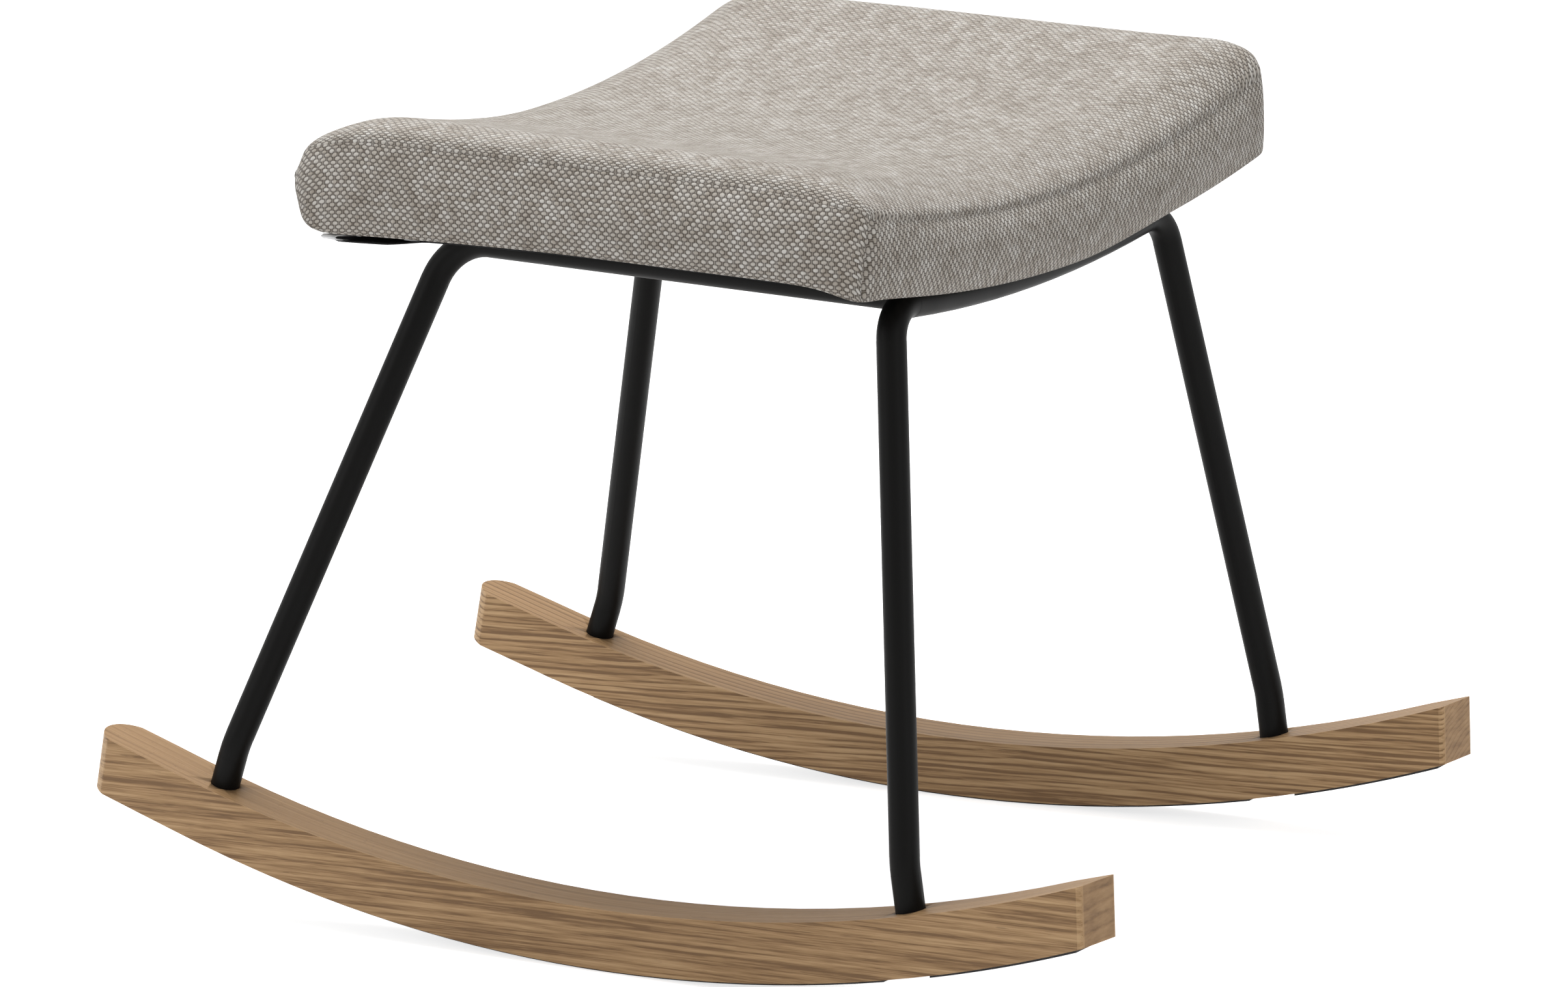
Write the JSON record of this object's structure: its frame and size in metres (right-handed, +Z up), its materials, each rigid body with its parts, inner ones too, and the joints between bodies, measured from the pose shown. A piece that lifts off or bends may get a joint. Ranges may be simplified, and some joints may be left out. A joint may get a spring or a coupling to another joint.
{
  "type": "rocking footstool",
  "caption": "Upholstered saddle-seat footstool on a bent tubular steel frame, standing on two curved wooden rockers.",
  "frame": {"origin": "centre of the bounding box in X and Y, on the floor that the rockers stand on, with the stool at rest", "axes": "+X along the rockers towards the front end, where the bent front tube curves under the seat; +Y to the left across the rockers; +Z up"},
  "size_m": [0.6331, 0.443, 0.4553],
  "materials": {
    "oak": "oiled, open grain",
    "plywood": "sanded",
    "grip": "matt",
    "frame": "satin powder coat",
    "fixings": "zinc plated",
    "foam": "open-cell foam",
    "cover": "plain basket weave",
    "lining": "non-woven"
  },
  "bodies": {
    "root": {"rocker_left": "oak", "rocker_right": "oak", "grip_left_rear": "grip", "grip_left_middle": "grip", "grip_left_front": "grip", "grip_right_rear": "grip", "grip_right_middle": "grip", "grip_right_front": "grip", "front_hoop": "frame", "rear_frame_left": "frame", "rear_frame_right": "frame", "rear_cross_tube": "frame", "leg_plugs": "fixings", "leg_bolts": "fixings", "leg_washers": "fixings", "plate_front_left": "frame", "plate_front_right": "frame", "plate_rear_left": "frame", "plate_rear_right": "frame", "seat_shell": "plywood", "seat_foam": "foam", "cover_top": "cover", "cover_front": "cover", "cover_rear": "cover", "dust_cover": "lining", "seat_screws": "fixings", "seat_washers": "fixings", "tee_nuts": "fixings"}
  },
  "joints": []
}
